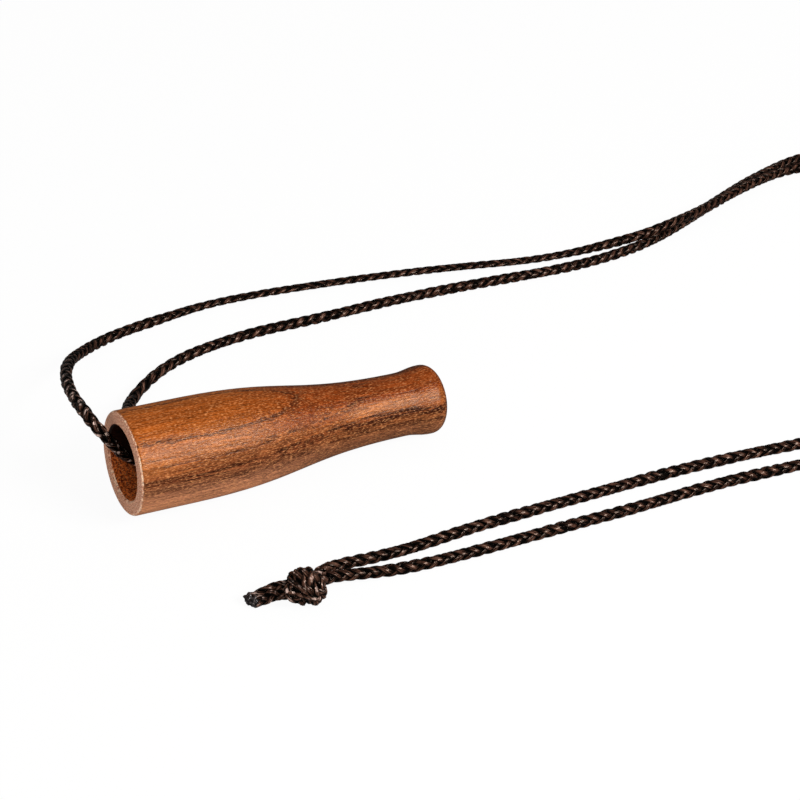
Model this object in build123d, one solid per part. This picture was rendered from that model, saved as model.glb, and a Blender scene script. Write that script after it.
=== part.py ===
"""Turned walnut bird call with a brass reed and a braided neck lanyard.

All lengths are in millimetres. The call lies on its side on the table, with
its bell to -X, its mouthpiece to +X and the table at Z = 0. The origin is on
the table, under the middle of the turned body.
"""

import os
from math import atan, degrees, radians, tan

from build123d import *

# Turned body, outside
BODY_LENGTH = 85.6
BELL_DIAMETER = 26.0
RIM_ROUND = 0.8
BELL_STRAIGHT = 16.5
NECK_DIAMETER = 16.25
NECK_STATION = 75.0
LIP_DIAMETER = 17.85
LIP_ROUND = 3.0
LIP_LAND = 0.4

# Turned body, inside
BORE_DIAMETER = 18.6
BORE_CHAMFER = 0.5
BORE_STRAIGHT = 24.0
CHANNEL_DIAMETER = 8.0
CHANNEL_CHAMFER = 0.4
CHANNEL_LENGTH = 26.0

# The two long curves of the body leave and arrive along the axis. Each
# number is the length of a curve's handle as a share of the curve's length.
OGEE_HANDLE_SHARES = (0.50, 0.50)
FLARE_HANDLE_SHARES = (0.45, 0.40)
THROAT_HANDLE_SHARES = (0.40, 0.50)

# Cord hole through the back wall
HOLE_DIAMETER = 4.0
HOLE_STATION = 9.0
HOLE_CHAMFER = 0.4
CUT_OVERRUN = 2.0

# Reed unit, pressed into the air channel
HOLDER_LENGTH = 5.0
HOLDER_SET_BACK = 0.8
HOLDER_SQUEEZE = 0.03
HOLDER_CHAMFER = 0.3
TROUGH_DIAMETER = 4.8
TROUGH_WALL = 0.5
TROUGH_STAND_OUT = 0.6
TROUGH_NOSE = 1.0
MOUTHPIECE_RECESS = 5.6
TABLE_HEIGHT = 0.8
TABLE_SET_BACK = 1.0
COLLAR_DIAMETER = 6.0
COLLAR_LENGTH = 2.6
COLLAR_SET_BACK = 1.6
COLLAR_EDGE = 0.2
REED_THICKNESS = 0.2
REED_WIDTH = 4.2
REED_TAIL_STAND_OUT = 0.3
REED_TIP_OVERHANG = 0.4
REED_FLEX_GAP = 0.03
REED_LIFT_DEGREES = 2.4
REED_CLOSED_DEGREES = 0.1

# Braided cord, drawn as a faceted tube. Routes run from the middle of the
# wall, in the cord hole, to the knot. Each is one strand of the same cord.
CORD_DIAMETER = 2.7
CORD_SIDES = 8
CORD_LIFT = 0.05
CORD_HEIGHT = CORD_DIAMETER / 2 + CORD_LIFT
CORD_BEND_SHARE = 0.45

MOUTH_STRAND_ROUTE = [
    (-33.6, 11.2, 13.9),
    (-33.6, 7.7, 13.9),
    (-34.6, 4.4, 12.6),
    (-37.5, 2.9, 12.0),
    (-40.4, 3.1, 14.2),
    (-43.1, 3.9, 18.0),
    (-45.1, 4.9, 21.3),
    (-46.4, 7.8, 23.0),
    (-46.4, 12.6, 23.1),
    (-45.8, 20.2, 21.6),
    (-44.4, 28.9, 19.4),
    (-42.2, 38.4, 16.6),
    (-38.6, 49.1, 13.0),
    (-34.0, 59.3, 8.8),
    (-28.2, 67.9, 4.8),
    (-21.0, 74.6, 2.2),
    (-12.0, 78.4, CORD_HEIGHT),
    (-1.0, 79.8, CORD_HEIGHT),
    (14.0, 81.5, CORD_HEIGHT),
    (30.0, 80.0, CORD_HEIGHT),
    (48.0, 76.9, CORD_HEIGHT),
    (68.0, 72.8, CORD_HEIGHT),
    (88.0, 67.6, CORD_HEIGHT),
    (106.0, 61.9, CORD_HEIGHT),
    (121.0, 59.9, CORD_HEIGHT),
    (133.0, 59.0, 1.9),
    (142.0, 57.0, 3.7),
    (149.6, 56.2, 4.9),
    (158.2, 59.0, 4.7),
    (168.2, 62.3, 4.0),
    (179.3, 66.9, 3.3),
    (192.1, 71.3, 2.5),
    (206.6, 74.9, CORD_HEIGHT),
    (221.0, 71.2, CORD_HEIGHT),
    (231.0, 63.0, CORD_HEIGHT),
    (235.0, 50.0, CORD_HEIGHT),
    (233.0, 34.0, CORD_HEIGHT),
    (226.0, 16.0, CORD_HEIGHT),
    (216.0, -2.0, CORD_HEIGHT),
    (204.5, -18.0, CORD_HEIGHT),
    (192.0, -31.0, CORD_HEIGHT),
    (177.0, -42.0, CORD_HEIGHT),
    (160.0, -50.0, CORD_HEIGHT),
    (142.0, -53.4, CORD_HEIGHT),
    (124.0, -52.4, CORD_HEIGHT),
    (104.0, -49.4, CORD_HEIGHT),
    (84.0, -47.5, CORD_HEIGHT),
    (64.0, -46.9, CORD_HEIGHT),
    (44.0, -46.0, CORD_HEIGHT),
    (26.0, -45.7, CORD_HEIGHT),
    (12.0, -46.4, CORD_HEIGHT),
    (2.0, -45.6, CORD_HEIGHT),
    (-4.5, -44.8, 1.6),
    (-8.7, -45.5, 2.3),
    (-12.2, -47.0, 3.0),
]

SIDE_STRAND_ROUTE = [
    (-33.6, 11.2, 13.9),
    (-33.6, 15.0, 13.9),
    (-33.2, 19.4, 13.4),
    (-31.6, 24.4, 11.7),
    (-29.4, 30.2, 8.8),
    (-26.8, 36.8, 5.4),
    (-23.2, 43.4, 2.6),
    (-18.2, 49.4, CORD_HEIGHT),
    (-10.8, 54.9, CORD_HEIGHT),
    (-1.5, 58.9, CORD_HEIGHT),
    (10.0, 61.0, CORD_HEIGHT),
    (23.0, 61.6, CORD_HEIGHT),
    (38.0, 60.2, CORD_HEIGHT),
    (56.0, 60.0, CORD_HEIGHT),
    (76.0, 58.4, CORD_HEIGHT),
    (96.0, 55.7, CORD_HEIGHT),
    (114.0, 53.2, CORD_HEIGHT),
    (129.0, 53.3, CORD_HEIGHT),
    (142.0, 55.1, CORD_HEIGHT),
    (156.0, 59.8, CORD_HEIGHT),
    (172.0, 66.6, CORD_HEIGHT),
    (188.0, 73.2, CORD_HEIGHT),
    (204.0, 78.3, CORD_HEIGHT),
    (219.0, 80.0, CORD_HEIGHT),
    (232.0, 76.0, CORD_HEIGHT),
    (240.5, 66.0, CORD_HEIGHT),
    (243.5, 50.0, CORD_HEIGHT),
    (241.0, 32.0, CORD_HEIGHT),
    (234.0, 13.0, CORD_HEIGHT),
    (224.0, -5.0, CORD_HEIGHT),
    (212.5, -22.0, CORD_HEIGHT),
    (199.0, -37.0, CORD_HEIGHT),
    (183.0, -49.0, CORD_HEIGHT),
    (165.0, -57.5, CORD_HEIGHT),
    (147.0, -61.4, CORD_HEIGHT),
    (129.0, -61.3, CORD_HEIGHT),
    (110.0, -59.1, CORD_HEIGHT),
    (90.0, -57.0, CORD_HEIGHT),
    (70.0, -56.8, CORD_HEIGHT),
    (50.0, -55.6, CORD_HEIGHT),
    (31.0, -54.8, CORD_HEIGHT),
    (16.0, -53.9, CORD_HEIGHT),
    (5.0, -52.4, CORD_HEIGHT),
    (-2.5, -50.6, 1.7),
    (-8.0, -49.8, 2.5),
    (-12.2, -50.2, 3.6),
]

# Overhand knot in the doubled cord. Both strands run on through it, side by
# side, and end in short melted tails. The wraps lie round them.
KNOT_MIDDLE = (-18.0, -51.6)
KNOT_LEAD_SHARE = 0.8
KNOT_RADIUS_SHARE = 1.19
KNOT_PITCH_SHARE = 0.96
KNOT_WRAP_COUNT = 3
KNOT_WRAP_LEAN = 14.0
KNOT_WRAP_SWEEP = 320.0
TAIL_ROUND_SHARE = 0.2

MOUTH_TAIL_ROUTE = [
    (-19.7, -49.8, 3.9),
    (-22.6, -48.9, 3.7),
    (-25.4, -47.8, 2.9),
    (-28.2, -47.2, 1.9),
    (-30.7, -46.9, 1.5),
]
SIDE_TAIL_ROUTE = [
    (-19.6, -51.9, 4.0),
    (-22.6, -51.0, 3.4),
    (-25.2, -49.7, 2.6),
    (-27.6, -48.9, 1.8),
    (-29.8, -48.6, 1.5),
]


def share_curve(start, end, handle_shares):
    """A curve that is parallel to X at both ends."""
    span = end[0] - start[0]
    first = (start[0] + span * handle_shares[0], start[1])
    second = (end[0] - span * handle_shares[1], end[1])
    return Bezier(start, first, second, end)


def body_outside():
    """The turned outline from the rim's face to the mouthpiece's face."""
    bell = BELL_DIAMETER / 2
    neck = NECK_DIAMETER / 2
    lip = LIP_DIAMETER / 2
    lip_station = BODY_LENGTH - LIP_ROUND
    ogee_start = (BELL_STRAIGHT, bell)
    neck_point = (NECK_STATION, neck)
    lip_start = (lip_station - LIP_LAND, lip)
    return [
        CenterArc((RIM_ROUND, bell - RIM_ROUND), RIM_ROUND, 180, -90),
        Line((RIM_ROUND, bell), ogee_start),
        share_curve(ogee_start, neck_point, OGEE_HANDLE_SHARES),
        share_curve(neck_point, lip_start, FLARE_HANDLE_SHARES),
        Line(lip_start, (lip_station, lip)),
        CenterArc((lip_station, lip - LIP_ROUND), LIP_ROUND, 90, -90),
    ]


def body_inside():
    """The bore, the throat and the air channel, from the mouthpiece back."""
    bore = BORE_DIAMETER / 2
    channel = CHANNEL_DIAMETER / 2
    channel_start = BODY_LENGTH - CHANNEL_LENGTH
    throat_start = (BORE_STRAIGHT, bore)
    throat_end = (channel_start, channel)
    return [
        Polyline(
            (BODY_LENGTH, LIP_DIAMETER / 2 - LIP_ROUND),
            (BODY_LENGTH, channel + CHANNEL_CHAMFER),
            (BODY_LENGTH - CHANNEL_CHAMFER, channel),
            throat_end,
        ),
        share_curve(throat_start, throat_end, THROAT_HANDLE_SHARES),
        Polyline(
            throat_start,
            (BORE_CHAMFER, bore),
            (0, bore + BORE_CHAMFER),
            (0, BELL_DIAMETER / 2 - RIM_ROUND),
        ),
    ]


def axial_cylinder(diameter, start, end):
    """A cylinder on the call's axis between two stations."""
    turned = Cylinder(diameter / 2, end - start, align=(Align.CENTER, Align.CENTER, Align.MIN))
    return Pos(start, 0, 0) * Rot(0, 90, 0) * turned


def make_body():
    """The walnut body, turned in one piece, with the hole for the cord."""
    section = make_face(body_outside() + body_inside())
    turned = revolve(section, Axis.X)
    outer = BELL_DIAMETER / 2
    hole = Cylinder(HOLE_DIAMETER / 2, outer, align=(Align.CENTER, Align.CENTER, Align.MIN))
    flare_height = HOLE_CHAMFER + CUT_OVERRUN
    flare = Cone(
        HOLE_DIAMETER / 2,
        HOLE_DIAMETER / 2 + flare_height,
        flare_height,
        align=(Align.CENTER, Align.CENTER, Align.MIN),
    )
    cut = hole + Pos(0, 0, outer - HOLE_CHAMFER) * flare
    cut = Pos(HOLE_STATION, 0, 0) * Rot(-90, 0, 0) * cut
    return turned - cut


# Stations of the reed unit along the axis
HOLDER_START = BODY_LENGTH - CHANNEL_LENGTH + HOLDER_SET_BACK
HOLDER_END = HOLDER_START + HOLDER_LENGTH
TROUGH_START = HOLDER_START - TROUGH_STAND_OUT
TROUGH_END = BODY_LENGTH - MOUTHPIECE_RECESS
TABLE_START = HOLDER_END + TABLE_SET_BACK
COLLAR_START = HOLDER_END + COLLAR_SET_BACK
COLLAR_END = COLLAR_START + COLLAR_LENGTH
REED_TAIL_START = COLLAR_START - REED_TAIL_STAND_OUT
REED_TIP = TROUGH_END - TROUGH_NOSE + REED_TIP_OVERHANG


def above_table(start, end, height):
    """A block from the trough's table upward, wide enough to cut with."""
    corner = (Align.MIN, Align.CENTER, Align.MIN)
    return Pos(start, 0, height) * Box(end - start, CHANNEL_DIAMETER, CHANNEL_DIAMETER, align=corner)


def reed_strip(start, end):
    """A flat stretch of the reed, lying on the trough's table."""
    corner = (Align.MIN, Align.CENTER, Align.MIN)
    return Pos(start, 0, TABLE_HEIGHT) * Box(end - start, REED_WIDTH, REED_THICKNESS, align=corner)


def make_holder():
    """The cork bush that seals the channel and grips the trough."""
    bush = axial_cylinder(CHANNEL_DIAMETER + 2 * HOLDER_SQUEEZE, HOLDER_START, HOLDER_END)
    ends = bush.edges().filter_by(GeomType.CIRCLE)
    bush = chamfer(ends, HOLDER_CHAMFER)
    return bush - axial_cylinder(TROUGH_DIAMETER, HOLDER_START - CUT_OVERRUN, HOLDER_END + CUT_OVERRUN)


def make_trough():
    """A brass tube closed at its nose, cut down to a flat table."""
    outside = axial_cylinder(TROUGH_DIAMETER, TROUGH_START, TROUGH_END)
    nose_edge = outside.edges().filter_by(GeomType.CIRCLE).sort_by(Axis.X)[-1]
    outside = fillet(nose_edge, TROUGH_WALL)
    bore_diameter = TROUGH_DIAMETER - 2 * TROUGH_WALL
    inside = axial_cylinder(bore_diameter, TROUGH_START - CUT_OVERRUN, TROUGH_END - TROUGH_NOSE)
    window = above_table(TABLE_START, TROUGH_END + CUT_OVERRUN, TABLE_HEIGHT)
    return outside - inside - window


def make_collar():
    """The brass band that clamps the reed's tail to the table."""
    band = axial_cylinder(COLLAR_DIAMETER, COLLAR_START, COLLAR_END)
    band = chamfer(band.edges().filter_by(GeomType.CIRCLE), COLLAR_EDGE)
    seat = axial_cylinder(TROUGH_DIAMETER, COLLAR_START - CUT_OVERRUN, COLLAR_END + CUT_OVERRUN)
    seat -= above_table(COLLAR_START - CUT_OVERRUN, COLLAR_END + CUT_OVERRUN, TABLE_HEIGHT)
    tail_slot = reed_strip(COLLAR_START - CUT_OVERRUN, COLLAR_END + CUT_OVERRUN)
    return band - seat - tail_slot


def make_reed_tail():
    """The reed's clamped end."""
    return reed_strip(REED_TAIL_START, COLLAR_END)


def make_reed_tongue():
    """The reed's free end, sprung off the table at rest."""
    flat = reed_strip(COLLAR_END + REED_FLEX_GAP, REED_TIP)
    tip_edges = flat.edges().filter_by(Axis.Z).sort_by(Axis.X)[-2:]
    flat = fillet(tip_edges, REED_WIDTH / 4)
    bend = Axis((COLLAR_END, 0, TABLE_HEIGHT), (0, 1, 0))
    return flat.rotate(bend, -REED_LIFT_DEGREES)


def rest_tilt():
    """How far the call nods when its belly and its lip touch the table."""
    points = [edge @ (step / 40) for edge in body_outside() for step in range(41)]
    belly = [p for p in points if p.X < NECK_STATION]
    lip = [p for p in points if p.X >= NECK_STATION]
    low, high = 0, 1
    for _ in range(40):
        slope = (low + high) / 2
        belly_reach = max(p.Y + slope * p.X for p in belly)
        lip_reach = max(p.Y + slope * p.X for p in lip)
        if lip_reach > belly_reach:
            high = slope
        else:
            low = slope
    return degrees(atan(low))


def corner_radii(route):
    """The arc at each corner, as large as the two runs beside it allow."""
    points = [Vector(*p) for p in route]
    radii = []
    for before, here, after in zip(points, points[1:], points[2:]):
        run_in = here - before
        run_out = after - here
        turn = radians(run_in.get_angle(run_out))
        shorter = min(run_in.length, run_out.length)
        radii.append(CORD_BEND_SHARE * shorter / tan(turn / 2))
    return radii


def cord_path(route):
    """Straight runs joined by tangent arcs."""
    return FilletPolyline(*route, radius=corner_radii(route))


def cord_section():
    """The cord's section, with its corners on the cord's diameter."""
    return RegularPolygon(CORD_DIAMETER / 2, CORD_SIDES)


def cord_tube(route):
    """A faceted tube of the cord's diameter along a route."""
    path = cord_path(route)
    start = Plane(origin=path @ 0, z_dir=path % 0)
    return sweep(start * cord_section(), path=path)


def tail_route(strand_route, tail_points):
    """A tail that sets out along the strand's last run."""
    before, end = (Vector(*p) for p in strand_route[-2:])
    lead = end + (end - before) * KNOT_LEAD_SHARE
    return [tuple(end), tuple(lead)] + tail_points


def make_tail(strand_route, tail_points):
    """A strand from the knot's edge to its tip, melted round."""
    tail = cord_tube(tail_route(strand_route, tail_points))
    tip = tail.faces().sort_by_distance(tail_points[-1])[0]
    return fillet(tip.edges(), CORD_DIAMETER * TAIL_ROUND_SHARE)


def make_knot():
    """The doubled cord through the knot, its two tails and the wraps."""
    radius = CORD_DIAMETER * KNOT_RADIUS_SHARE
    pitch = CORD_DIAMETER * KNOT_PITCH_SHARE
    centre = Pos(*KNOT_MIDDLE, radius + CORD_HEIGHT)
    section = Pos(radius, 0, 0) * Rot(90, 0, 0) * cord_section()
    wrap = revolve(section, Axis.Z, revolution_arc=KNOT_WRAP_SWEEP)
    knot = make_tail(MOUTH_STRAND_ROUTE, MOUTH_TAIL_ROUTE)
    knot += make_tail(SIDE_STRAND_ROUTE, SIDE_TAIL_ROUTE)
    for number in range(KNOT_WRAP_COUNT):
        along = (number - (KNOT_WRAP_COUNT - 1) / 2) * pitch
        knot += centre * Rot(0, 90, KNOT_WRAP_LEAN) * Pos(0, 0, along) * wrap
    return knot


# Everything turned or fitted is made on the call's own axis, then laid down.
body = make_body()
laid = Rot(0, rest_tilt(), 0)
laid_box = (laid * body).bounding_box()
middle = (laid_box.min.X + laid_box.max.X) / 2
on_table = Pos(-middle, 0, -laid_box.min.Z) * laid

nodes = {
    "barrel": on_table * body,
    "reed_holder": on_table * make_holder(),
    "reed_trough": on_table * make_trough(),
    "reed_collar": on_table * make_collar(),
    "reed_tail": on_table * make_reed_tail(),
    "reed_tongue": on_table * make_reed_tongue(),
    "cord_mouth_strand": cord_tube(MOUTH_STRAND_ROUTE),
    "cord_side_strand": cord_tube(SIDE_STRAND_ROUTE),
    "cord_knot": make_knot(),
}

os.makedirs("parts", exist_ok=True)
for name, solid in nodes.items():
    export_step(solid, f"parts/{name}.step")

print("rest tilt, degrees", round(rest_tilt(), 3))
flex = on_table * Pos(COLLAR_END, 0, TABLE_HEIGHT)
print("reed flexes about", flex.position)
print("reed travel, degrees", round(REED_LIFT_DEGREES - REED_CLOSED_DEGREES, 2))
end_face = on_table * Pos(BODY_LENGTH, 0, 0)
print("mouthpiece face centre", end_face.position)
rim_face = on_table * Pos(0, 0, 0)
print("rim face centre", rim_face.position)
hole = on_table * Pos(HOLE_STATION, BELL_DIAMETER / 2, 0)
print("cord hole", hole.position)
section = cord_section().area
for name, route in (("cord_mouth_strand", MOUTH_STRAND_ROUTE), ("cord_side_strand", SIDE_STRAND_ROUTE)):
    radii = corner_radii(route)
    length = cord_path(route).length
    print(name, "length", round(length, 1), "least radius", round(min(radii), 2))
    print("  volume over section times length", round(nodes[name].volume / (section * length), 4))
    print("  radii", [round(r, 1) for r in radii])
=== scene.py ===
"""A turned walnut bird call on its braided neck cord, laid down on a pale table.

Places are in metres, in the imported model's own frame. The call lies along X
with its bell to -X, the table is at Z = 0 and the camera looks from the front.
"""

from math import cos, pi, radians, sin

import bmesh
import bpy
import numpy as np
from mathutils import Matrix, Vector, noise


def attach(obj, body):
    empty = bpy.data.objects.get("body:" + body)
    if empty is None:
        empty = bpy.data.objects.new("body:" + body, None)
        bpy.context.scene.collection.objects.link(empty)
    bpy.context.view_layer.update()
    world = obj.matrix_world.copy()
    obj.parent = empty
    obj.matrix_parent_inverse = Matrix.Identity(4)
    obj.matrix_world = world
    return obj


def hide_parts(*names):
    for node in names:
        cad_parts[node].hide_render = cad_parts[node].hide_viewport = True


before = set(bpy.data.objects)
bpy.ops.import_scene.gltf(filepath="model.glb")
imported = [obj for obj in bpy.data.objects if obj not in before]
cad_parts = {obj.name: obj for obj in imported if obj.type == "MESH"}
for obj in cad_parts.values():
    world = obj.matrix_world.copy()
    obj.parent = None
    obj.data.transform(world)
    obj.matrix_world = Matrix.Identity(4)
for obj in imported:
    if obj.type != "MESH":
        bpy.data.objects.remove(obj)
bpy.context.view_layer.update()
MM = 0.001


# The viewpoint. A long lens from the front, left of the bell and above it, so
# that the open bell shows its rim and the mouthpiece points away to the right.
CAMERA_PLACE = Vector((-0.20195, -0.45616, 0.34036))
CAMERA_AZIMUTH = radians(-27.24)
CAMERA_ELEVATION = radians(32.72)
LENS = 108.0
NEAREST_SEEN = 0.01
FARTHEST_SEEN = 20

view_back = Vector((
    sin(CAMERA_AZIMUTH) * cos(CAMERA_ELEVATION),
    -cos(CAMERA_AZIMUTH) * cos(CAMERA_ELEVATION),
    sin(CAMERA_ELEVATION),
))
camera = bpy.data.objects.new("camera", bpy.data.cameras.new("camera"))
camera.data.lens = LENS
camera.data.clip_start = NEAREST_SEEN
camera.data.clip_end = FARTHEST_SEEN
camera.location = CAMERA_PLACE
camera.rotation_mode = "QUATERNION"
camera.rotation_quaternion = (-view_back).to_track_quat("-Z", "Y")
bpy.context.collection.objects.link(camera)
bpy.context.scene.camera = camera
bpy.context.scene.view_settings.view_transform = "Standard"


# The cord. One length of dark brown braid, about 2.7 mm thick, of eight flat
# yarns round a soft core. It passes through the hole behind the rim, so two
# strands leave the call: one over the rim and one straight out of the wall.
CORD_DIAMETER = 2.7 * MM
YARN_TURN = 12.8 * MM
YARN_WIDTH = 1.5 * MM
YARN_THICKNESS = 0.74 * MM
YARN_WEAVE = 0.24 * MM
YARNS_EACH_WAY = 4
BRAID_RADIUS = CORD_DIAMETER / 2 - YARN_THICKNESS / 2
BRAID_STEP = 0.6 * MM
SPLINE_STEPS = 16

MOUTH_STRAND_ROUTE = [
    (-0.0336, 0.0112, 0.0139),
    (-0.0336, 0.0077, 0.0139),
    (-0.0346, 0.0044, 0.0126),
    (-0.0375, 0.0029, 0.012),
    (-0.0404, 0.0031, 0.0142),
    (-0.0431, 0.0039, 0.018),
    (-0.0451, 0.0049, 0.0213),
    (-0.0464, 0.0078, 0.023),
    (-0.0464, 0.0126, 0.0231),
    (-0.0458, 0.0202, 0.0216),
    (-0.0444, 0.0289, 0.0194),
    (-0.0422, 0.0384, 0.0166),
    (-0.0386, 0.0491, 0.013),
    (-0.034, 0.0593, 0.0088),
    (-0.0282, 0.0679, 0.0048),
    (-0.021, 0.0746, 0.0022),
    (-0.012, 0.0784, 0.0014),
    (-0.001, 0.0798, 0.0014),
    (0.014, 0.0815, 0.0014),
    (0.03, 0.08, 0.0014),
    (0.048, 0.0769, 0.0014),
    (0.068, 0.0728, 0.0014),
    (0.088, 0.0676, 0.0014),
    (0.106, 0.0619, 0.0014),
    (0.121, 0.0599, 0.0014),
    (0.133, 0.0592, 0.0017),
    (0.142, 0.0573, 0.0033),
    (0.1496, 0.0566, 0.0046),
    (0.1582, 0.0593, 0.004),
    (0.1682, 0.0626, 0.0034),
    (0.1793, 0.0671, 0.003),
    (0.1921, 0.0716, 0.0023),
    (0.2066, 0.075, 0.0014),
    (0.221, 0.0712, 0.0014),
    (0.231, 0.063, 0.0014),
    (0.235, 0.05, 0.0014),
    (0.233, 0.034, 0.0014),
    (0.226, 0.016, 0.0014),
    (0.216, -0.002, 0.0014),
    (0.2045, -0.018, 0.0014),
    (0.192, -0.031, 0.0014),
    (0.177, -0.042, 0.0014),
    (0.16, -0.05, 0.0014),
    (0.142, -0.0534, 0.0014),
    (0.124, -0.0524, 0.0014),
    (0.104, -0.0494, 0.0014),
    (0.084, -0.0475, 0.0014),
    (0.064, -0.0469, 0.0014),
    (0.044, -0.046, 0.0014),
    (0.026, -0.0457, 0.0014),
    (0.012, -0.0464, 0.0014),
    (0.002, -0.0456, 0.0014),
    (-0.0045, -0.0448, 0.0016),
    (-0.0087, -0.0455, 0.0023),
    (-0.0122, -0.047, 0.003),
]
SIDE_STRAND_ROUTE = [
    (-0.0336, 0.0112, 0.0139),
    (-0.0336, 0.015, 0.0139),
    (-0.0332, 0.0194, 0.0134),
    (-0.0316, 0.0244, 0.0117),
    (-0.0294, 0.0302, 0.0088),
    (-0.0268, 0.0368, 0.0054),
    (-0.0232, 0.0434, 0.0026),
    (-0.0182, 0.0494, 0.0014),
    (-0.0108, 0.0549, 0.0014),
    (-0.0015, 0.0589, 0.0014),
    (0.01, 0.061, 0.0014),
    (0.023, 0.0616, 0.0014),
    (0.038, 0.0602, 0.0014),
    (0.056, 0.06, 0.0014),
    (0.076, 0.0584, 0.0014),
    (0.096, 0.0557, 0.0014),
    (0.114, 0.0532, 0.0014),
    (0.129, 0.0533, 0.0014),
    (0.142, 0.0551, 0.0014),
    (0.156, 0.0598, 0.0014),
    (0.172, 0.0666, 0.0014),
    (0.188, 0.0732, 0.0014),
    (0.204, 0.0783, 0.0014),
    (0.219, 0.08, 0.0014),
    (0.232, 0.076, 0.0014),
    (0.2405, 0.066, 0.0014),
    (0.2435, 0.05, 0.0014),
    (0.241, 0.032, 0.0014),
    (0.234, 0.013, 0.0014),
    (0.224, -0.005, 0.0014),
    (0.2125, -0.022, 0.0014),
    (0.199, -0.037, 0.0014),
    (0.183, -0.049, 0.0014),
    (0.165, -0.0575, 0.0014),
    (0.147, -0.0614, 0.0014),
    (0.129, -0.0613, 0.0014),
    (0.11, -0.0591, 0.0014),
    (0.09, -0.057, 0.0014),
    (0.07, -0.0568, 0.0014),
    (0.05, -0.0556, 0.0014),
    (0.031, -0.0548, 0.0014),
    (0.016, -0.0539, 0.0014),
    (0.005, -0.0524, 0.0014),
    (-0.0025, -0.0506, 0.0017),
    (-0.008, -0.0498, 0.0025),
    (-0.0122, -0.0502, 0.0036),
]


def centre_line(route, step=BRAID_STEP):
    """Evenly spaced points on the smooth line that a route's points steer."""
    curve = bpy.data.curves.new("route", "CURVE")
    curve.dimensions = "3D"
    curve.resolution_u = SPLINE_STEPS
    spline = curve.splines.new("NURBS")
    spline.points.add(len(route) - 1)
    for point, place in zip(spline.points, route):
        point.co = (*place, 1)
    spline.order_u = 3
    spline.use_endpoint_u = True
    holder = bpy.data.objects.new("route", curve)
    line = bpy.data.meshes.new_from_object(holder)
    points = np.array([vertex.co for vertex in line.vertices])
    bpy.data.objects.remove(holder)
    bpy.data.curves.remove(curve)
    bpy.data.meshes.remove(line)
    runs = np.linalg.norm(np.diff(points, axis=0), axis=1)
    reach = np.concatenate([[0], np.cumsum(runs)])
    even = np.linspace(0, reach[-1], round(reach[-1] / step) + 1)
    return np.column_stack([np.interp(even, reach, points[:, axis]) for axis in range(3)])


def line_length(points):
    """How long the line through these points is."""
    return float(np.linalg.norm(np.diff(points, axis=0), axis=1).sum())


def unit(vectors):
    """The same directions, each with a length of 1."""
    return vectors / np.linalg.norm(vectors, axis=1, keepdims=True)


def column(values):
    """One number for each point, set upright so that it scales a vector each."""
    return values[:, None]


def cord_frames(points):
    """Along, sideways and upward directions at every point of a line."""
    along = unit(np.gradient(points, axis=0))
    sideways = unit(np.cross(along, [0.0, 0.0, 1.0]))
    upward = unit(np.cross(sideways, along))
    return along, sideways, upward


# Four yarns wind one way round and four the other, out of step, so that each
# passes over two and under two. A worn braid has slack that comes and goes in
# two waves. Where it is slack it is higher and narrower, and its yarns run ahead.
WAYS_ROUND = ((1, 0.5), (-1, 1.5))
SLACK_WAVES = ((3.1 * MM, 0.0), (7.7 * MM, 1.3))
EVEN_HEIGHT, SLACK_HEIGHT = 0.95, 0.025
EVEN_BREADTH, SLACK_BREADTH = 1.03, 0.03
SLACK_TURN = 0.25
YARN_BREADTH = 0.92
BREADTH_ON_TOP = 0.06
WAVER_BREADTH = 0.1
WAVER_LENGTH = 4.3 * MM
WAVER_LAG = 2.1
DRAWN_BREADTH = 0.3

YARN_SIDES = 8
YARN_CORNERS = np.arange(YARN_SIDES) * 2 * pi / YARN_SIDES


def yarns_round(points, reach, flat, pace):
    """Each yarn of the braid in turn: its rings of corners, and its lift.

    The lift is 1 where a yarn crosses on top and -1 where it lies underneath.
    Flat is the share of its height that the braid keeps, and pace is how fast
    its yarns turn round it, where 1 is as braided.
    """
    along, sideways, upward = cord_frames(points)
    slack = sum(np.sin(reach / length + lag) for length, lag in SLACK_WAVES)
    high = flat * (EVEN_HEIGHT + SLACK_HEIGHT * slack)
    broad = EVEN_BREADTH - SLACK_BREADTH * slack
    advance = (pace[1:] + pace[:-1]) / 2 * np.diff(reach)
    turns = np.concatenate([[0], np.cumsum(advance)]) / YARN_TURN
    pitch = column(np.arctan(2 * pi * BRAID_RADIUS * pace / YARN_TURN))
    for way, lag in WAYS_ROUND:
        for yarn in range(YARNS_EACH_WAY):
            angle = way * 2 * pi * (turns + yarn / YARNS_EACH_WAY) + SLACK_TURN * slack
            lift = np.cos(pi / 2 * (2 * YARNS_EACH_WAY * turns + 2 * yarn - lag))
            to_side, to_top = column(broad * np.cos(angle)), column(high * np.sin(angle))
            outward = to_side * sideways + to_top * upward
            from_side, from_top = column(broad * np.sin(angle)), column(high * np.cos(angle))
            round_cord = from_top * upward - from_side * sideways
            breadth = np.cos(pitch) * round_cord - way * np.sin(pitch) * along
            middle = points + outward * column(BRAID_RADIUS + YARN_WEAVE * lift)
            waver = WAVER_BREADTH * np.sin(reach / WAVER_LENGTH + WAVER_LAG * yarn + way)
            half_width = YARN_WIDTH / 2 * (YARN_BREADTH + BREADTH_ON_TOP * lift + waver)
            half_width = half_width * (1 + DRAWN_BREADTH * (1 - pace))
            rings = [
                middle
                + column(half_width * cos(corner)) * breadth
                + YARN_THICKNESS / 2 * sin(corner) * outward
                for corner in YARN_CORNERS
            ]
            yield np.stack(rings, axis=1), lift


def as_laid(reach):
    """1 all along the line: nothing there changes the braid."""
    return np.ones(len(reach))


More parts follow.
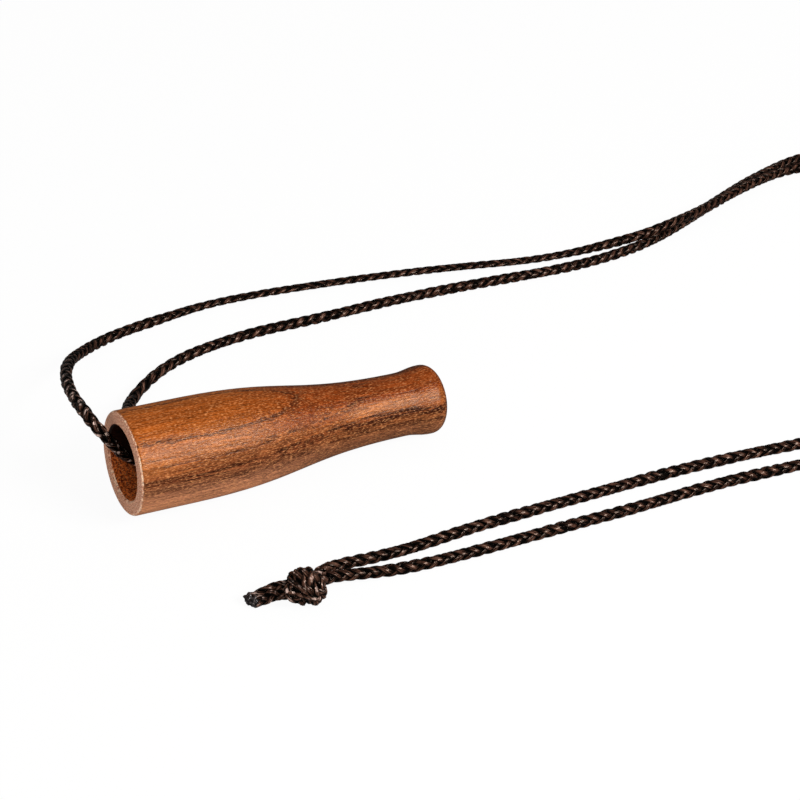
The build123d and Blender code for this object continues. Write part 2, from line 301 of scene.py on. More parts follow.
def braid_mesh(name, lines, flatness=as_laid, glints=as_laid, pace=as_laid):
    """Eight yarns, over two and under two, round each of the lines.

    The last three say, for a reach along a line, how flat the braid lies, how
    much paler its crowns are painted, with painted glints and more gloss, and
    how fast its yarns turn.
    """
    corners, faces, lifts, reaches = [], [], [], []
    count = 0
    for points in lines:
        reach = np.linspace(0, line_length(points), len(points))
        glint_gain = glints(reach)
        for rings, lift in yarns_round(points, reach, flatness(reach), pace(reach)):
            corners.append(rings.reshape(-1, 3))
            # The lift gives painted shade in the hollows, and above 1 painted glints.
            lifts.append(np.repeat(glint_gain * (0.5 + 0.5 * lift), YARN_SIDES))
            reaches.append(np.repeat(reach, YARN_SIDES))
            grid = count + np.arange(len(points) * YARN_SIDES).reshape(-1, YARN_SIDES)
            after = np.roll(grid, -1, axis=1)
            quads = np.stack([grid[:-1], after[:-1], after[1:], grid[1:]], axis=2)
            faces += quads.reshape(-1, 4).tolist()
            faces += [grid[0, ::-1].tolist(), grid[-1].tolist()]
            count += grid.size
    mesh = bpy.data.meshes.new(name)
    mesh.from_pydata(np.concatenate(corners).tolist(), [], faces)
    lift_layer = mesh.attributes.new("lift", "FLOAT", "POINT")
    lift_layer.data.foreach_set("value", np.concatenate(lifts))
    twist = np.tile(YARN_CORNERS, count // YARN_SIDES)
    place = np.column_stack([np.concatenate(reaches), twist, np.sin(twist)])
    yarn_layer = mesh.attributes.new("yarn", "FLOAT_VECTOR", "POINT")
    yarn_layer.data.foreach_set("vector", place.ravel())
    mesh.shade_smooth()
    piece = bpy.data.objects.new(name, mesh)
    bpy.context.collection.objects.link(piece)
    return piece


def shade(tree, kind, inputs=(), **settings):
    """Adds a shader node and gives each named input a value or a link."""
    made = tree.nodes.new(kind)
    for name, value in settings.items():
        setattr(made, name, value)
    for name, value in dict(inputs).items():
        if isinstance(value, bpy.types.NodeSocket):
            tree.links.new(value, made.inputs[name])
        else:
            made.inputs[name].default_value = value
    return made


def reckon(tree, operation, *values):
    """A sum on numbers in a material."""
    return shade(tree, "ShaderNodeMath", list(enumerate(values)), operation=operation).outputs[0]


def total(tree, *values):
    """Several values added."""
    made = values[0]
    for value in values[1:]:
        made = reckon(tree, "ADD", made, value)
    return made


def product(tree, *values):
    """Several values multiplied."""
    made = values[0]
    for value in values[1:]:
        made = reckon(tree, "MULTIPLY", made, value)
    return made


def spread(tree, value, low, high, to_low=0.0, to_high=1.0):
    """A value taken from one range to another, and held inside it."""
    ranges = {"From Min": low, "From Max": high, "To Min": to_low, "To Max": to_high}
    return shade(tree, "ShaderNodeMapRange", {"Value": value, **ranges}).outputs[0]


def mix_colour(tree, factor, first, second):
    """A colour that goes from the first to the second."""
    inputs = {0: factor, 6: first, 7: second}
    return shade(tree, "ShaderNodeMix", inputs, data_type="RGBA").outputs[2]


def tint(red, green, blue):
    """A colour given as it looks on screen, from 0 to 255."""
    levels = [channel / 255 for channel in (red, green, blue)]
    return tuple([((level + 0.055) / 1.055) ** 2.4 for level in levels] + [1.0])


def colour_stops(tree, position, stops):
    """A colour that runs through stops along a position from 0 to 1."""
    ramp = shade(tree, "ShaderNodeValToRGB", {"Fac": position})
    while len(ramp.color_ramp.elements) < len(stops):
        ramp.color_ramp.elements.new(1)
    for element, (place, colour) in zip(ramp.color_ramp.elements, stops):
        element.position = place
        element.color = colour
    return ramp.outputs["Color"]


def own_place(tree):
    """Where a point is on the object itself, in metres."""
    return shade(tree, "ShaderNodeTexCoord").outputs["Object"]


def drawn_out(tree, place, scale):
    """A place scaled on each axis, so that what is laid on it comes out drawn."""
    return shade(tree, "ShaderNodeMapping", {"Vector": place, "Scale": scale}).outputs[0]


def mottle(tree, place, scale, detail, distortion=0.0):
    """Soft random patches from 0 to 1, smaller with a larger scale."""
    inputs = {"Vector": place, "Scale": scale, "Detail": detail, "Distortion": distortion}
    return shade(tree, "ShaderNodeTexNoise", inputs).outputs["Fac"]


def blank_finish(name):
    """A new material, its node tree and its surface shader."""
    finish = bpy.data.materials.new(name)
    finish.use_nodes = True
    return finish, finish.node_tree, finish.node_tree.nodes["Principled BSDF"]


def roughen(tree, surface, height, strength, distance):
    """The finest relief of a surface, which is too small for its mesh."""
    inputs = {"Height": height, "Strength": strength, "Distance": distance}
    bump = shade(tree, "ShaderNodeBump", inputs)
    tree.links.new(bump.outputs[0], surface.inputs["Normal"])


# Filaments to the metre along a yarn and to the radian round it, and the
# colours of the yarn from the hollows up to its crowns, where the black of
# the hollows is painted shade. The pale yarn colour below is a painted glint.
FILAMENT_LAY = (360, 2.4, 0)
YARN_COLOURS = [
    (0.0, tint(2, 1, 0)),
    (0.14, tint(9, 5, 3)),
    (0.3, tint(52, 32, 24)),
    (0.6, tint(78, 52, 41)),
    (1.0, tint(124, 94, 79)),
]
YARN_GLINT = tint(232, 200, 186)
YARN_SHEEN = tint(255, 222, 200)


def make_braid_finish():
    """Very dark brown filament yarn, painted shade in its hollows and sides, painted glints."""
    finish, tree, surface = blank_finish("braid")
    lift = shade(tree, "ShaderNodeAttribute", attribute_name="lift").outputs["Fac"]
    yarn = shade(tree, "ShaderNodeAttribute", attribute_name="yarn").outputs["Vector"]
    ridge = shade(tree, "ShaderNodeSeparateXYZ", {0: yarn}).outputs["Z"]
    filament = mottle(tree, drawn_out(tree, yarn, FILAMENT_LAY), 1.0, 2.0)
    place = own_place(tree)
    patch = mottle(tree, place, 420.0, 2.0)
    broken = mottle(tree, place, 900.0, 1.0)
    # Painted shade: the yarn goes black in its hollows, by the lift, and on its sides, by the
    # ridge.
    crown = product(
        tree,
        spread(tree, filament, 0.4, 0.6, 0.04, 1.0),
        spread(tree, patch, 0.34, 0.62, 0.4, 1.0),
        reckon(tree, "POWER", reckon(tree, "MINIMUM", lift, 1.0), 1.4),
        spread(tree, ridge, 0.1, 1.0),
    )
    # Painted glints: pale lines on the crowns where the lift is raised above 1.
    glints = product(
        tree,
        spread(tree, lift, 1.02, 1.34),
        spread(tree, ridge, 0.66, 0.98),
        spread(tree, broken, 0.5, 0.57),
        spread(tree, filament, 0.38, 0.55),
    )
    colour = mix_colour(tree, glints, colour_stops(tree, crown, YARN_COLOURS), YARN_GLINT)
    tree.links.new(colour, surface.inputs["Base Color"])
    surface.inputs["Roughness"].default_value = 0.15
    gloss = spread(tree, lift, 0.45, 1.0, 0.04, 0.26)
    rubbed_gloss = spread(tree, lift, 1.0, 1.4, 0.0, 0.4)
    tree.links.new(total(tree, gloss, rubbed_gloss), surface.inputs["Specular IOR Level"])
    surface.inputs["Specular Tint"].default_value = YARN_SHEEN
    roughen(tree, surface, filament, 0.7, 0.12 * MM)
    return finish


# How the braid differs along the two strands. Each reach is in metres from the
# hole, and each pair is where a change begins and where it is complete.
FAR_STRETCH_BEGINS = (0.12, 0.14)
FAR_STRETCH_ENDS = (0.262, 0.242)
FAR_FLATNESS = 0.6
# Painted glints and paler painted crowns, with more gloss, close to the rim.
GLINTS_BY_RIM = (0.07, 0.04)
RIM_GLINT = 0.5
RISES_TO_RIM = (0.022, 0.032)
FALLS_FROM_RIM = (0.09, 0.075)
HANGS_FROM_HOLE = (0.06, 0.045)
DRAWN_LONGER = 0.45


def eased(reach, change):
    """0 before a change, 1 once it is complete, and even steps in between."""
    begins, complete = change
    return np.clip((reach - begins) / (complete - begins), 0, 1)


def far_stretch_lies_flat(reach):
    """The braid presses flat where it lies along the far side of the table."""
    inside = eased(reach, FAR_STRETCH_BEGINS) * eased(reach, FAR_STRETCH_ENDS)
    return 1 - (1 - FAR_FLATNESS) * inside


def glints_by_the_rim(reach):
    """Paler painted crowns, painted glints and more gloss where the cord bends over the rim."""
    return 1 + RIM_GLINT * eased(reach, GLINTS_BY_RIM)


def drawn_over_the_rim(reach):
    """The yarns turn slower where the cord is pulled up over the rim."""
    return 1 - DRAWN_LONGER * eased(reach, RISES_TO_RIM) * eased(reach, FALLS_FROM_RIM)


def drawn_from_the_hole(reach):
    """The yarns turn slower where the cord hangs from the hole to the table."""
    return 1 - DRAWN_LONGER * eased(reach, HANGS_FROM_HOLE)


braid_finish = make_braid_finish()
mouth_line = centre_line(MOUTH_STRAND_ROUTE)
side_line = centre_line(SIDE_STRAND_ROUTE)
mouth_strand = braid_mesh(
    "mouth_strand_braid",
    [mouth_line],
    flatness=far_stretch_lies_flat,
    glints=glints_by_the_rim,
    pace=drawn_over_the_rim,
)
side_strand = braid_mesh("side_strand_braid", [side_line], pace=drawn_from_the_hole)
for strand, node in ((mouth_strand, "cord_mouth_strand"), (side_strand, "cord_side_strand")):
    strand.data.materials.append(braid_finish)
    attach(strand, "call")
    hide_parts(node)


# The knot. Both ends of the cord are tied together in one overhand knot. Two
# short tails run out of it to the left, and a flame has sealed their tips.
KNOT_PLACE = Vector((-0.0184, -0.0522, 0.0047))
KNOT_ACROSS = Vector((cos(CAMERA_AZIMUTH), sin(CAMERA_AZIMUTH), 0))
KNOT_UP = view_back.cross(KNOT_ACROSS)
KNOT_STEP = BRAID_STEP * 0.8
# Painted glints and paler painted crowns, with more gloss, all round the knot.
KNOT_GLINT = 1.3
WRAP_POINTS = 16
WRAP_TURNS = 1.15
WRAPS = [
    {"slide": -1.9, "rise": -0.3, "back": 0.0, "height": 2.25, "depth": 2.2, "lean": 0.50},
    {"slide": -0.4, "rise": 0.0, "back": 0.2, "height": 2.95, "depth": 2.7, "lean": 0.42},
    {"slide": 1.2, "rise": -0.1, "back": 0.2, "height": 3.2, "depth": 2.85, "lean": 0.30},
    {"slide": 2.9, "rise": -0.2, "back": -1.9, "height": 1.8, "depth": 1.7, "lean": 0.30},
]
BIGHT_ROUTE = [
    (-0.0192, -0.0519, 0.0037),
    (-0.0213, -0.0521, 0.0051),
    (-0.0226, -0.0525, 0.0054),
    (-0.0228, -0.053, 0.0045),
    (-0.0218, -0.0532, 0.0031),
    (-0.0195, -0.0531, 0.0017),
]
MOUTH_TAIL_ROUTE = [
    (-0.0087, -0.0455, 0.0023),
    (-0.0123, -0.0471, 0.003),
    (-0.0163, -0.049, 0.0036),
    (-0.0197, -0.0498, 0.0039),
    (-0.0224, -0.049, 0.0038),
    (-0.0247, -0.0479, 0.0033),
    (-0.027, -0.0475, 0.0024),
    (-0.029, -0.0472, 0.0017),
    (-0.0304, -0.0469, 0.0014),
]
SIDE_TAIL_ROUTE = [
    (-0.008, -0.0498, 0.0025),
    (-0.012, -0.0497, 0.0032),
    (-0.0165, -0.0511, 0.0036),
    (-0.0203, -0.0521, 0.0036),
    (-0.023, -0.0513, 0.0033),
    (-0.0249, -0.0498, 0.0028),
    (-0.0268, -0.049, 0.002),
    (-0.0285, -0.0486, 0.0015),
    (-0.0296, -0.0484, 0.0014),
]
TIP_RADIUS = 1.35 * MM
TIP_LUMPS = 1.6
TIP_ROUGHNESS = 0.4 * MM
MOUTH_TIP_SEED = 3.0
SIDE_TIP_SEED = 8.0


def glints_in_the_knot(reach):
    """Paler painted crowns, painted glints and more gloss all round the knot."""
    return np.full(len(reach), KNOT_GLINT)


def wrap_route(slide, rise, back, height, depth, lean):
    """A turn of a strand round the knot, closed on itself behind."""
    route = []
    for number in range(WRAP_POINTS):
        angle = pi + 2 * pi * WRAP_TURNS * (number / (WRAP_POINTS - 1) - 0.5)
        up = height * MM * sin(angle)
        place = KNOT_PLACE + KNOT_ACROSS * (slide * MM - lean * up)
        place += KNOT_UP * (rise * MM + up) + view_back * (back * MM - depth * MM * cos(angle))
        route.append(tuple(place))
    return route


def melted_tip(form, place, seed):
    """An uneven lump where the yarns' ends have run together."""
    made = bmesh.ops.create_icosphere(form, subdivisions=4, radius=TIP_RADIUS)["verts"]
    for corner in made:
        where = corner.co / TIP_RADIUS * TIP_LUMPS + Vector((seed, 0, 0))
        lump = noise.fractal(where, 0.6, 2.0, 3)
        corner.co += corner.co.normalized() * lump * TIP_ROUGHNESS
        corner.co += Vector(place)


def make_melted_finish():
    """Yarn ends melted to a dark, shiny, uneven lump."""
    finish, tree, surface = blank_finish("melted_cord")
    patch = mottle(tree, own_place(tree), 1500.0, 2.0)
    soot_to_bare = [(0.35, tint(16, 12, 12)), (0.6, tint(52, 46, 46)), (0.72, tint(120, 112, 108))]
    tree.links.new(colour_stops(tree, patch, soot_to_bare), surface.inputs["Base Color"])
    surface.inputs["Roughness"].default_value = 0.25
    roughen(tree, surface, patch, 0.6, 0.2 * MM)
    return finish


knot_routes = [MOUTH_TAIL_ROUTE, SIDE_TAIL_ROUTE, BIGHT_ROUTE]
knot_routes += [wrap_route(**wrap) for wrap in WRAPS]
knot_lines = [centre_line(route, KNOT_STEP) for route in knot_routes]
knot = braid_mesh("knot_braid", knot_lines, glints=glints_in_the_knot)
tips_mesh = bpy.data.meshes.new("tail_tips")
tips_form = bmesh.new()
melted_tip(tips_form, MOUTH_TAIL_ROUTE[-1], MOUTH_TIP_SEED)
melted_tip(tips_form, SIDE_TAIL_ROUTE[-1], SIDE_TIP_SEED)
for face in tips_form.faces:
    face.smooth = True
tips_form.to_mesh(tips_mesh)
tips_form.free()
tips = bpy.data.objects.new("tail_tips", tips_mesh)
bpy.context.collection.objects.link(tips)
knot.data.materials.append(braid_finish)
tips_mesh.materials.append(make_melted_finish())
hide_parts("cord_knot")
for piece in (knot, tips):
    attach(piece, "call")


# The barrel. One piece of walnut, turned between centres, bored, sanded and
# oiled. The grain runs along its axis, and the rim shows end grain.
REST_TILT = radians(3.955)
RIM_CENTRE = Vector((-0.0424843, 0, 0.0146082))
BORE_RADIUS = 9.3


def axis_place(tree):
    """Millimetres along the barrel's axis, to its back and above its axis."""
    turn = Matrix.Rotation(-REST_TILT, 3, "Y")
    inputs = {
        "Vector": own_place(tree),
        "Rotation": (0, -REST_TILT, 0),
        "Location": -(turn @ RIM_CENTRE) / MM,
        "Scale": (1 / MM,) * 3,
    }
    return shade(tree, "ShaderNodeMapping", inputs).outputs[0]


def grain(tree, place, scale, detail=2.0, distortion=0.0):
    """Patches in the wood, drawn out along the axis by a small first scale."""
    return mottle(tree, drawn_out(tree, place, scale), 1.0, detail, distortion)


def dimmed(tree, colour, strength):
    """A colour or vector made stronger or weaker as a whole."""
    inputs = {0: colour, "Scale": strength}
    return shade(tree, "ShaderNodeVectorMath", inputs, operation="SCALE").outputs[0]


def times(tree, vector, other):
    """Two vectors or colours multiplied part by part."""
    inputs = {0: vector, 1: other}
    return shade(tree, "ShaderNodeVectorMath", inputs, operation="MULTIPLY").outputs[0]


def mix_value(tree, factor, first, second):
    """A value that goes from the first to the second."""
    return shade(tree, "ShaderNodeMix", {0: factor, 2: first, 3: second}).outputs[0]


def dot(tree, vector, other):
    """How far a vector goes in the direction of another."""
    inputs = {0: vector, 1: other}
    return shade(tree, "ShaderNodeVectorMath", inputs, operation="DOT_PRODUCT").outputs["Value"]


# Colours of the wood across its growth layers, and how strongly dark streaks
# show in each layer, in millimetres from the axis along the layers' normal.
LAYER_NORMAL = (0.0, -0.259, 0.966)
LAYER_SPAN = 26.0
LAYER_COLOURS = [
    (-13.0, tint(172, 112, 80)),
    (-4.0, tint(194, 128, 88)),
    (-1.5, tint(172, 112, 78)),
    (0.6, tint(142, 90, 62)),
    (3.0, tint(118, 68, 40)),
    (5.0, tint(118, 62, 32)),
    (6.5, tint(144, 80, 38)),
    (8.5, tint(154, 84, 31)),
    (11.0, tint(150, 78, 22)),
    (13.0, tint(141, 68, 17)),
]
LAYER_STREAKS = [
    (-13.0, 0.2),
    (0.6, 0.25),
    (1.6, 0.8),
    (2.6, 0.85),
    (3.1, 0.5),
    (3.6, 0.9),
    (4.2, 1.0),
    (5.2, 1.0),
    (5.8, 0.42),
    (7.5, 0.3),
    (7.7, 0.85),
    (7.9, 0.85),
    (8.3, 0.3),
    (13.0, 0.12),
]

# Where things show on the barrel. A fade is nothing at its first number and full
# at its second. Station, layer and radius are millimetres from the rim, up through
# the layers and from the axis. Top and back are shares of the radius, and end_on
# is -1 on a face that looks out past the rim.
BACK_NORMAL = (0.0, 0.423, 0.906)
TOP = [("top", (0.84, 0.92))]
UPPER_SIDE = [("top", (0.66, 0.74)), ("station", (58.0, 47.0))]
DARK_TOP_ALONG = [("station", (25.0, 44.0))]
UPPER_FRONT = [
    ("layer", (9.2, 8.0)),
    ("layer", (5.0, 6.2)),
    ("station", (54.0, 46.0)),
    ("station", (4.0, 14.0)),
]
# A paler band along the neck where the lamp's highlight lies: partly paler wood, partly a painted
# highlight.
NECK_HIGHLIGHT_BAND = [
    ("layer", (5.0, 6.0)),
    ("layer", (7.6, 6.8)),
    ("station", (54.0, 62.0)),
    ("station", (78.0, 74.0)),
]
# Painted shade: a dark band along the far upper side of the neck.
SHADED_BACK = [("back", (0.95, 0.985)), ("station", (34.0, 50.0))]
UNDERSIDE = [("top", (0.22, -0.05)), ("station", (28.0, 50.0))]
MIDDLE = [("station", (24.0, 34.0)), ("station", (62.0, 54.0))]
NECK_TOP = TOP + [("station", (62.0, 70.0))]
HAIRED = [("layer", (2.0, 4.0)), ("layer", (11.5, 9.5)), ("station", (3.0, 9.0))]
FIGURE_ALONG = [("station", (60.0, 50.0))]
NECK = [("station", (36.0, 54.0))]
LIP = [("station", (83.4, 85.0))]
RIM = [("station", (2.2, 1.4))]
RIM_FACE = RIM + [("end_on", (-0.5, -0.75))]
OUTER_EDGE = RIM + [("end_on", (-0.97, -0.88)), ("end_on", (-0.4, -0.6))]
BORE_EDGE = RIM_FACE + [("radius", (BORE_RADIUS + 0.5, BORE_RADIUS + 0.1))]

# The colours that go over the layers, and how strongly each covers the wood.
# The dark line of the figure curves over the bell's top.
# Over the neck's top the wood is darker: partly its own colour, partly painted shade.
DARK_TOP = tint(106, 34, 4)
DARK_TOP_SHARE = 0.65
BROAD_STRETCHES = [
    (UPPER_FRONT, 0.6, tint(118, 62, 30)),
    # The paler band under the neck's highlight: partly paler wood, partly painted highlight.
    (NECK_HIGHLIGHT_BAND, 0.45, tint(186, 116, 66)),
    # Painted shade along the neck's far upper side.
    (SHADED_BACK, 0.75, tint(58, 12, 2)),
    (UNDERSIDE, 0.75, tint(94, 56, 42)),
]
STREAK = tint(52, 19, 7)
CLEARED_NECK_TOP = 0.65
HAIR = tint(84, 34, 12)
HAIR_SHARE = 0.6
FIGURE_LINE = tint(60, 24, 10)
FIGURE_SHARE = 0.85
FIGURE_EDGE = 11.62
FIGURE_CURVE = 0.0004
BARE_TONE = (1, 1, 1, 1)
NECK_TONE = (0.95, 0.85, 0.62, 1)
DARK_LIP = tint(64, 26, 10)
LIP_SHARE = 0.6
BORED = (tint(104, 22, 3), tint(255, 126, 54))
UNLIT_BORE = tint(28, 13, 9)
UNLIT_SLOPE = 0.93
# The rim's end grain, painted paler in part as painted light on the rim face.
LIT_END_GRAIN = (tint(174, 90, 64), tint(255, 206, 174))
# A painted glint along the rim's outer edge and the bore's edge.
EDGE_GLINT = tint(255, 222, 190)
PALE_FLECK = tint(252, 176, 112)
OIL_SHEEN = tint(255, 230, 212)


def faded_in(tree, measures, fades):
    """How far a point lies inside all of some fades, from 0 to 1."""
    return product(tree, *[spread(tree, measures[name], *fade) for name, fade in fades])


def wavering(tree, place, reach, scale, detail=2.0):
    """A length that wavers from place to place, by its reach either way."""
    return spread(tree, grain(tree, place, scale, detail), 0.2, 0.8, -reach, reach)


def layer_stops(rows):
    """Rows of the layers' table as stops from 0 to 1."""
    return [(where / LAYER_SPAN + 0.5, value) for where, value in rows]


def layer_position(tree, place, layer):
    """Which growth layer a point is in, from 0 to 1, as the layers wander."""
    wander = wavering(tree, place, 0.7, (0.035, 0.2, 0.2))
    fray = wavering(tree, place, 0.6, (0.14, 1.2, 1.2), 3.0)
    wandered = total(tree, layer, total(tree, wander, fray))
    return total(tree, reckon(tree, "DIVIDE", wandered, LAYER_SPAN), 0.5)


def broad_shading(tree, colour, measures):
    """Broad darker and paler stretches of the wood, some of them painted light and shade."""
    top, upper_side = faded_in(tree, measures, TOP), faded_in(tree, measures, UPPER_SIDE)
    narrowed = reckon(tree, "MAXIMUM", top, upper_side)
    along = faded_in(tree, measures, DARK_TOP_ALONG)
    colour = mix_colour(tree, product(tree, narrowed, along, DARK_TOP_SHARE), colour, DARK_TOP)
    for fades, share, tone in BROAD_STRETCHES:
        strength = product(tree, faded_in(tree, measures, fades), share)
        colour = mix_colour(tree, strength, colour, tone)
    return colour


def streaks_over(tree, colour, place, measures, position):
    """Dark streaks: long ones on the bell, broken in the middle, fine on the neck."""
    station = measures["station"]
    long_streaks = spread(tree, grain(tree, place, (0.045, 1.3, 1.3), 4.0, 0.3), 0.44, 0.56)
    fine_streaks = spread(tree, grain(tree, place, (0.06, 2.6, 2.6), 3.0, 0.3), 0.5, 0.6)
    blotches = spread(tree, grain(tree, place, (0.2, 0.75, 0.75), 3.0, 0.8), 0.44, 0.55)
    broken = product(tree, blotches, total(tree, product(tree, long_streaks, 0.5), 0.6))
    streaks = mix_value(tree, faded_in(tree, measures, MIDDLE), long_streaks, broken)
    on_neck = spread(tree, station, 40.0, 56.0, 0.8, 1.0)
    streaks = reckon(tree, "MAXIMUM", streaks, product(tree, fine_streaks, on_neck))

    greys = [(at, (value,) * 3 + (1,)) for at, value in layer_stops(LAYER_STREAKS)]
    in_layer = colour_stops(tree, position, greys)
    by_rim = spread(tree, station, 2.0, 14.0, 0.55, 1.0)
    neck_top = product(tree, faded_in(tree, measures, NECK_TOP), CLEARED_NECK_TOP)
    clear = reckon(tree, "SUBTRACT", 1.0, neck_top)
    return mix_colour(tree, product(tree, streaks, in_layer, by_rim, clear), colour, STREAK)


def hairs_over(tree, colour, place, measures):
    """Single hair lines along the bell and the neck, above the streaks."""
    hairs = spread(tree, grain(tree, place, (0.03, 2.0, 2.0), 1.0), 0.62, 0.67)
    hairs = product(tree, hairs, faded_in(tree, measures, HAIRED), HAIR_SHARE)
    return mix_colour(tree, hairs, colour, HAIR)


def figure_over(tree, colour, place, measures):
    """The thin dark line where a growth layer runs out over the bell's top."""
    curve = product(tree, reckon(tree, "POWER", measures["station"], 2.0), FIGURE_CURVE)
    ragged = wavering(tree, place, 0.35, (0.5, 2.0, 2.0), 3.0)
    figure = total(tree, measures["layer"], curve, ragged)
    line = product(
        tree,
        spread(tree, figure, FIGURE_EDGE - 0.45, FIGURE_EDGE - 0.05),
        spread(tree, figure, FIGURE_EDGE + 0.12, FIGURE_EDGE),
        faded_in(tree, measures, FIGURE_ALONG),
        FIGURE_SHARE,
    )
    return mix_colour(tree, line, colour, FIGURE_LINE)


def long_grain_colour(tree, place, measures):
    """The turned outside: growth layers, broad shading, streaks and figure."""
    position = layer_position(tree, place, measures["layer"])
    colour = colour_stops(tree, position, layer_stops(LAYER_COLOURS))
    colour = broad_shading(tree, colour, measures)
    colour = streaks_over(tree, colour, place, measures, position)
    colour = hairs_over(tree, colour, place, measures)
    colour = figure_over(tree, colour, place, measures)
    neck = faded_in(tree, measures, NECK)
    colour = times(tree, colour, mix_colour(tree, neck, BARE_TONE, NECK_TONE))
    lip = product(tree, faded_in(tree, measures, LIP), LIP_SHARE)
    return mix_colour(tree, lip, colour, DARK_LIP)


def make_walnut():
    """Oiled walnut: orange brown above, streaked along the front, with end grain."""
    finish, tree, surface = blank_finish("walnut")
    place = axis_place(tree)
    split = shade(tree, "ShaderNodeSeparateXYZ", {0: place}).outputs
    station, above_axis = split["X"], split["Z"]
    layer = dot(tree, place, LAYER_NORMAL)
    outwards = times(tree, place, (0.0, 1.0, 1.0))
    length = shade(tree, "ShaderNodeVectorMath", {0: outwards}, operation="LENGTH")
    radius = length.outputs["Value"]
    facing = shade(tree, "ShaderNodeTexCoord").outputs["Normal"]
    inward = spread(tree, dot(tree, facing, outwards), 0.0, -1.0)
    measures = {
        "station": station,
        "layer": layer,
        "top": reckon(tree, "DIVIDE", layer, radius),
        "back": reckon(tree, "DIVIDE", dot(tree, place, BACK_NORMAL), radius),
        "end_on": dot(tree, facing, (cos(REST_TILT), 0.0, -sin(REST_TILT))),
        "radius": radius,
    }

    colour = long_grain_colour(tree, place, measures)
    fibres = spread(tree, grain(tree, place, (0.09, 2.8, 2.8), 4.0, 0.4), 0.32, 0.68, 0.6, 1.32)
    pores = spread(tree, grain(tree, place, (0.22, 4.2, 4.2), 3.0), 0.56, 0.66, 1.0, 0.62)
    colour = dimmed(tree, colour, product(tree, fibres, pores))

    tool_marks = spread(tree, grain(tree, place, (3.0, 1.8, 1.8), 3.0), 0.4, 0.6)
    colour = mix_colour(tree, inward, colour, mix_colour(tree, tool_marks, *BORED))

    rim_face = faded_in(tree, measures, RIM_FACE)
    # End grain on the rim face, painted paler in part as painted light.
    cells = spread(tree, grain(tree, place, (1.0, 2.6, 2.6)), 0.38, 0.62)
    colour = mix_colour(tree, rim_face, colour, mix_colour(tree, cells, *LIT_END_GRAIN))
    # Painted glints along the rim's outer edge and along the edge of the bore.
    outer_edge, bore_edge = (faded_in(tree, measures, edge) for edge in (OUTER_EDGE, BORE_EDGE))
    glint_edges = reckon(tree, "MAXIMUM", outer_edge, bore_edge)
    broken = spread(tree, grain(tree, place, (0.5, 0.5, 0.5)), 0.5, 0.62, 0.04, 0.8)
    colour = mix_colour(tree, product(tree, glint_edges, broken), colour, EDGE_GLINT)

    on_outside = spread(tree, station, 36.0, 60.0, 0.9, 0.85)
    strength = total(tree, on_outside, product(tree, rim_face, 0.8), inward)
    flecks = reckon(tree, "SUBTRACT", grain(tree, place, (1.3, 3.8, 3.8)), 0.5)
    flecks = product(tree, flecks, strength)
    colour = dimmed(tree, colour, spread(tree, flecks, -0.2, 0.0, 0.5, 1.0))
    colour = mix_colour(tree, spread(tree, flecks, 0.03, 0.22, 0.0, 0.34), colour, PALE_FLECK)

    ragged = spread(tree, tool_marks, 0.0, 1.0, -0.7, 0.7)
    shadow_edge = total(tree, above_axis, product(tree, station, UNLIT_SLOPE), ragged)
    unlit = product(tree, inward, spread(tree, shadow_edge, -1.6, 0.6))
    colour = mix_colour(tree, unlit, colour, UNLIT_BORE)

    tree.links.new(colour, surface.inputs["Base Color"])
    surface.inputs["Roughness"].default_value = 0.28
    surface.inputs["Specular IOR Level"].default_value = 0.2
    surface.inputs["Specular Tint"].default_value = OIL_SHEEN
    roughen(tree, surface, total(tree, fibres, product(tree, flecks, 2.0)), 0.5, 0.1 * MM)
    return finish


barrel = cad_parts["barrel"]
barrel.material_slots[0].material = make_walnut()


# The reed unit. A cork bush holds a drawn brass trough in the air channel, and
# a brass band clamps the springy brass reed to the trough's flat table.
CORK_COLOURS = [(0.0, tint(196, 150, 104)), (0.35, tint(176, 126, 80)), (0.6, tint(112, 72, 42))]


def make_cork():
    """Pressed cork: pale grains with darker joints between them."""
    finish, tree, surface = blank_finish("cork")
    place = own_place(tree)
    cells = shade(tree, "ShaderNodeTexVoronoi", {"Vector": place, "Scale": 1400.0})
    speck = mottle(tree, place, 900.0, 3.0)
    level = product(tree, cells.outputs["Distance"], speck)
    tree.links.new(colour_stops(tree, level, CORK_COLOURS), surface.inputs["Base Color"])
    surface.inputs["Roughness"].default_value = 0.85
    roughen(tree, surface, speck, 0.5, 0.1 * MM)
    return finish


def make_brass(name, colour, draw_marks):
    """Brass with fine marks from the die or the rolls along its length."""
    finish, tree, surface = blank_finish(name)
    marks = grain(tree, axis_place(tree), (0.4, draw_marks, draw_marks), 3.0)
    toned = dimmed(tree, colour[:3], spread(tree, marks, 0.0, 1.0, 0.85, 1.1))
    tree.links.new(toned, surface.inputs["Base Color"])
    surface.inputs["Metallic"].default_value = 1.0
    rough = spread(tree, marks, 0.0, 1.0, 0.22, 0.38)
    tree.links.new(rough, surface.inputs["Roughness"])
    return finish


cork = make_cork()
drawn_brass = make_brass("drawn_brass", tint(206, 160, 88), 9.0)
reed_brass = make_brass("rolled_reed_brass", tint(222, 184, 112), 14.0)
reed_unit = {
    "reed_holder": cork,
    "reed_trough": drawn_brass,
    "reed_collar": drawn_brass,
    "reed_tail": reed_brass,
    "reed_tongue": reed_brass,
}
for node, finish in reed_unit.items():
    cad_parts[node].material_slots[0].material = finish


# The studio. A white table that keeps a faint shadow of the call, a white room
# round it that shows only dimly in the oiled wood, and one large soft lamp to
# the right of the camera.
TABLE_HALF = 2.0
KEY_FROM = Vector((0.385, -0.705, 0.595))
KEY_DISTANCE = 0.8
KEY_SIZE = (0.34, 0.26)
KEY_POWER = 8.0
ROOM_LIGHT = 0.62
ROOM_GLOSS = 0.05
VEIL = 0.95


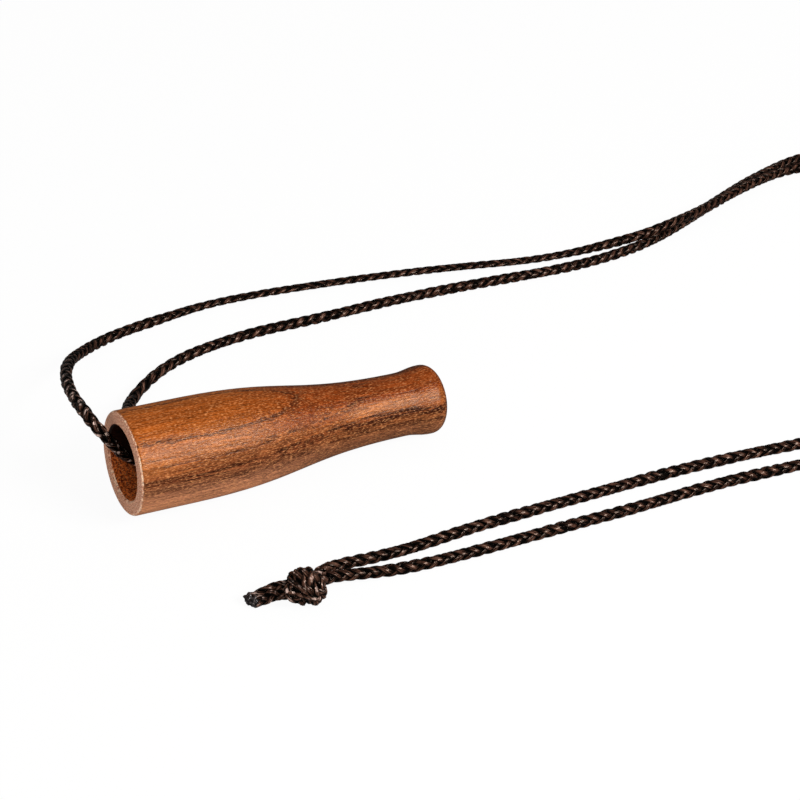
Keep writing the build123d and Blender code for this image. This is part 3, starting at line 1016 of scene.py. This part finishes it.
def ray_kinds(tree):
    """Which rays come from the camera, and which from a reflection."""
    rays = shade(tree, "ShaderNodeLightPath").outputs
    return rays["Is Camera Ray"], rays["Is Glossy Ray"]


def how_bright(tree, seen, mirrored, plain):
    """White to the camera, dim in reflections, and plain light otherwise."""
    return mix_value(tree, seen, mix_value(tree, mirrored, plain, ROOM_GLOSS), 1.0)


table_mesh = bpy.data.meshes.new("table")
table_form = bmesh.new()
bmesh.ops.create_grid(table_form, x_segments=1, y_segments=1, size=TABLE_HALF)
table_form.to_mesh(table_mesh)
table_form.free()
table = bpy.data.objects.new("table", table_mesh)
bpy.context.collection.objects.link(table)
table_finish, table_tree, table_surface = blank_finish("white_table")
table_surface.inputs["Base Color"].default_value = tint(226, 224, 222)
table_surface.inputs["Roughness"].default_value = 0.8

seen, mirrored = ray_kinds(table_tree)
table_light = {"Color": (1, 1, 1, 1), "Strength": how_bright(table_tree, seen, mirrored, 1.0)}
white = shade(table_tree, "ShaderNodeEmission", table_light)
veiled = product(table_tree, reckon(table_tree, "MAXIMUM", seen, mirrored), VEIL)
veil_inputs = {0: veiled, 1: table_surface.outputs[0], 2: white.outputs[0]}
veil = shade(table_tree, "ShaderNodeMixShader", veil_inputs)
table_tree.links.new(veil.outputs[0], table_tree.nodes["Material Output"].inputs["Surface"])
table_mesh.materials.append(table_finish)

room = bpy.data.worlds.new("white_room")
bpy.context.scene.world = room
room.use_nodes = True
room_tree = room.node_tree
room_brightness = how_bright(room_tree, *ray_kinds(room_tree), ROOM_LIGHT)
room_tree.links.new(room_brightness, room_tree.nodes["Background"].inputs["Strength"])
room_tree.nodes["Background"].inputs["Color"].default_value = (1, 1, 1, 1)

key_lamp = bpy.data.objects.new("key_lamp", bpy.data.lights.new("key_lamp", "AREA"))
key_lamp.data.shape = "RECTANGLE"
key_lamp.data.size, key_lamp.data.size_y = KEY_SIZE
key_lamp.data.energy = KEY_POWER
key_lamp.location = KEY_FROM.normalized() * KEY_DISTANCE
key_lamp.rotation_mode = "QUATERNION"
key_lamp.rotation_quaternion = (-KEY_FROM).to_track_quat("-Z", "Y")
bpy.context.collection.objects.link(key_lamp)
